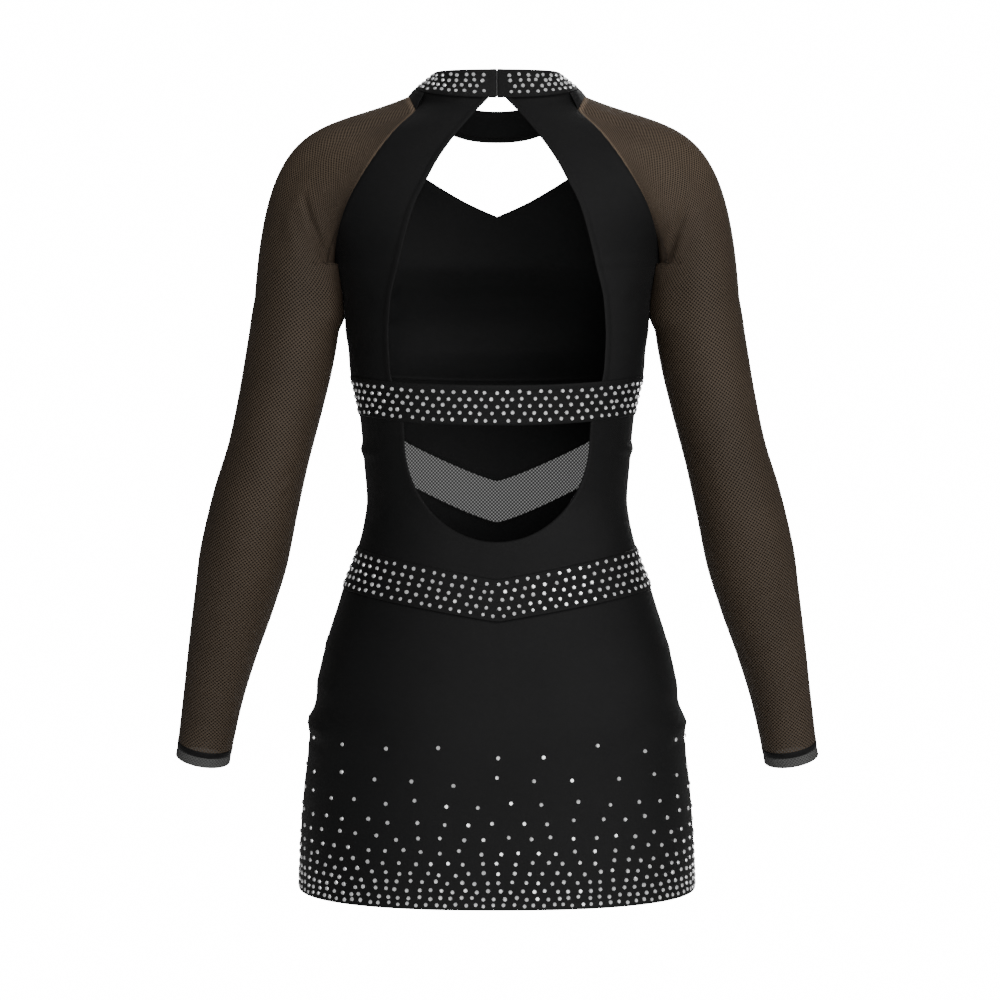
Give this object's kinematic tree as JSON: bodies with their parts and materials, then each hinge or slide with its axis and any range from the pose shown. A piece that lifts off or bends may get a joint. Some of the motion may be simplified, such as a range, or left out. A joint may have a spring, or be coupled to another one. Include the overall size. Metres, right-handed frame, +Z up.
{
  "type": "cheerleading uniform",
  "caption": "Worn-shape stretch cheer dress: stand collar, halter back with keyhole, net raglan sleeves, stoned bands, open midriff and short fitted skirt.",
  "frame": {"origin": "middle of the neck base, where the wearer holds the garment up", "axes": "+Z up the body, -Y out of the front, +Y out of the back, +X to the wearer's left"},
  "size_m": [0.6232, 0.2508, 0.77],
  "materials": {
    "stretch_knit": "black stretch knit, soft satin sheen",
    "stoned_band": "black stretch knit, doubled",
    "net": "fine black power net, see-through",
    "rhinestone": "clear foiled rhinestone"
  },
  "bodies": {
    "root": {"collar": "stoned_band", "collar_underlap": "stretch_knit", "back_left": "stretch_knit", "back_right": "stretch_knit", "front_bodice": "stretch_knit", "underbust_band": "stoned_band", "back_midriff": "stretch_knit", "front_yoke": "stretch_knit", "front_chevron_mesh": "net", "front_midriff": "stretch_knit", "hip_belt": "stoned_band", "skirt_back": "stretch_knit", "skirt_front": "stretch_knit", "sleeve_left": "net", "sleeve_right": "net", "cuff_left": "net", "cuff_right": "net"}
  },
  "joints": []
}
